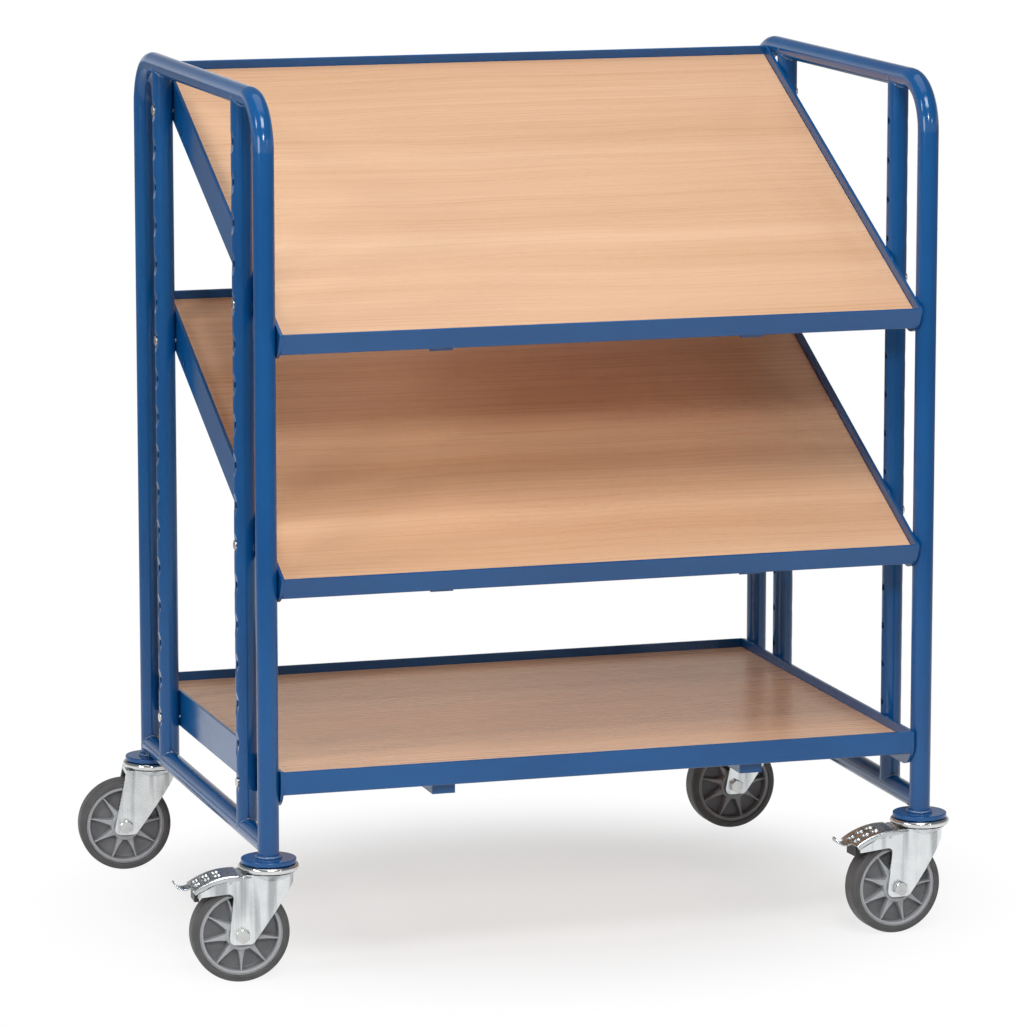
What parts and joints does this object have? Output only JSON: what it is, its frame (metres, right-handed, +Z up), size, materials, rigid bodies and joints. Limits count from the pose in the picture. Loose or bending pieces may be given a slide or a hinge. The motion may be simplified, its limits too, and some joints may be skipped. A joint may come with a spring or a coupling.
{
  "type": "container trolley",
  "caption": "Mobile shelf trolley for euro containers: tube end frames with perforated posts, a level bottom shelf, tilted upper shelves with raised lips, and swivel casters with front brakes.",
  "frame": {"origin": "on the floor, under the middle of the two end frames", "axes": "+X from the left end frame to the right one, +Y from front to rear, +Z up"},
  "size_m": [1.0382, 0.71, 1.1185],
  "materials": {
    "blue_paint": "semi-gloss powder coat",
    "beech_laminate": "satin beech-effect laminate",
    "zinc": "bright zinc plate",
    "bright_zinc": "polished zinc plate",
    "fastener_steel": "zinc-plated steel",
    "rim_grey": "moulded grey plastic",
    "tyre_grey": "non-marking grey rubber",
    "brake_black": "black moulded rubber"
  },
  "bodies": {
    "frame": {"left_hoop": "blue_paint", "left_bottom_rail": "blue_paint", "front_left_post": "blue_paint", "front_left_foot_disc": "blue_paint", "rear_left_post": "blue_paint", "rear_left_foot_disc": "blue_paint", "right_hoop": "blue_paint", "right_bottom_rail": "blue_paint", "front_right_post": "blue_paint", "front_right_foot_disc": "blue_paint", "rear_right_post": "blue_paint", "rear_right_foot_disc": "blue_paint", "leg_plugs": "fastener_steel", "bottom_front_rail": "blue_paint", "bottom_rear_rail": "blue_paint", "bottom_left_side_rail": "blue_paint", "bottom_right_side_rail": "blue_paint", "bottom_support_rails": "blue_paint", "bottom_board": "beech_laminate", "middle_front_rail": "blue_paint", "middle_rear_rail": "blue_paint", "middle_left_side_rail": "blue_paint", "middle_right_side_rail": "blue_paint", "middle_support_rails": "blue_paint", "middle_board": "beech_laminate", "top_front_rail": "blue_paint", "top_rear_rail": "blue_paint", "top_left_side_rail": "blue_paint", "top_right_side_rail": "blue_paint", "top_support_rails": "blue_paint", "top_board": "beech_laminate", "shelf_bolts": "fastener_steel", "shelf_washers": "fastener_steel", "shelf_nuts": "fastener_steel", "king_bolts": "fastener_steel", "bearing_balls": "fastener_steel", "swivel_heads": "bright_zinc"},
    "front_left_caster": {"front_left_fork": "zinc", "front_left_axle": "fastener_steel", "front_left_pivot_pin": "fastener_steel"},
    "front_left_wheel": {"front_left_rim": "rim_grey", "front_left_tyre": "tyre_grey"},
    "front_left_brake": {"front_left_pedal": "zinc", "front_left_brake_shoe": "brake_black"},
    "front_right_caster": {"front_right_fork": "zinc", "front_right_axle": "fastener_steel", "front_right_pivot_pin": "fastener_steel"},
    "front_right_wheel": {"front_right_rim": "rim_grey", "front_right_tyre": "tyre_grey"},
    "front_right_brake": {"front_right_pedal": "zinc", "front_right_brake_shoe": "brake_black"},
    "rear_left_caster": {"rear_left_fork": "zinc", "rear_left_axle": "fastener_steel"},
    "rear_left_wheel": {"rear_left_rim": "rim_grey", "rear_left_tyre": "tyre_grey"},
    "rear_right_caster": {"rear_right_fork": "zinc", "rear_right_axle": "fastener_steel"},
    "rear_right_wheel": {"rear_right_rim": "rim_grey", "rear_right_tyre": "tyre_grey"}
  },
  "joints": [
    {"name": "front_left_swivel", "type": "hinge", "parent": "frame", "child": "front_left_caster", "pos_m": [-0.43705, -0.3165, 0.14], "axis": [0, 0, 1], "continuous": true},
    {"name": "front_left_wheel_spin", "type": "hinge", "parent": "front_left_caster", "child": "front_left_wheel", "pos_m": [-0.47493, -0.31352, 0.0625], "axis": [0.0785, 0.9969, 0], "continuous": true},
    {"name": "front_left_brake_pedal", "type": "hinge", "parent": "front_left_caster", "child": "front_left_brake", "pos_m": [-0.48889, -0.31242, 0.1315], "axis": [-0.0785, -0.9969, 0], "range_deg": [0, 7]},
    {"name": "front_right_swivel", "type": "hinge", "parent": "frame", "child": "front_right_caster", "pos_m": [0.43705, -0.3165, 0.14], "axis": [0, 0, 1], "continuous": true},
    {"name": "front_right_wheel_spin", "type": "hinge", "parent": "front_right_caster", "child": "front_right_wheel", "pos_m": [0.39914, -0.31915, 0.0625], "axis": [-0.0698, 0.9976, 0], "continuous": true},
    {"name": "front_right_brake_pedal", "type": "hinge", "parent": "front_right_caster", "child": "front_right_brake", "pos_m": [0.38518, -0.32013, 0.1315], "axis": [0.0698, -0.9976, 0], "range_deg": [0, 7]},
    {"name": "rear_left_swivel", "type": "hinge", "parent": "frame", "child": "rear_left_caster", "pos_m": [-0.43705, 0.3165, 0.14], "axis": [0, 0, 1], "continuous": true},
    {"name": "rear_left_wheel_spin", "type": "hinge", "parent": "rear_left_caster", "child": "rear_left_wheel", "pos_m": [-0.47484, 0.32047, 0.0625], "axis": [0.1045, 0.9945, 0], "continuous": true},
    {"name": "rear_right_swivel", "type": "hinge", "parent": "frame", "child": "rear_right_caster", "pos_m": [0.43705, 0.3165, 0.14], "axis": [0, 0, 1], "continuous": true},
    {"name": "rear_right_wheel_spin", "type": "hinge", "parent": "rear_right_caster", "child": "rear_right_wheel", "pos_m": [0.39907, 0.31517, 0.0625], "axis": [-0.0349, 0.9994, 0], "continuous": true}
  ]
}
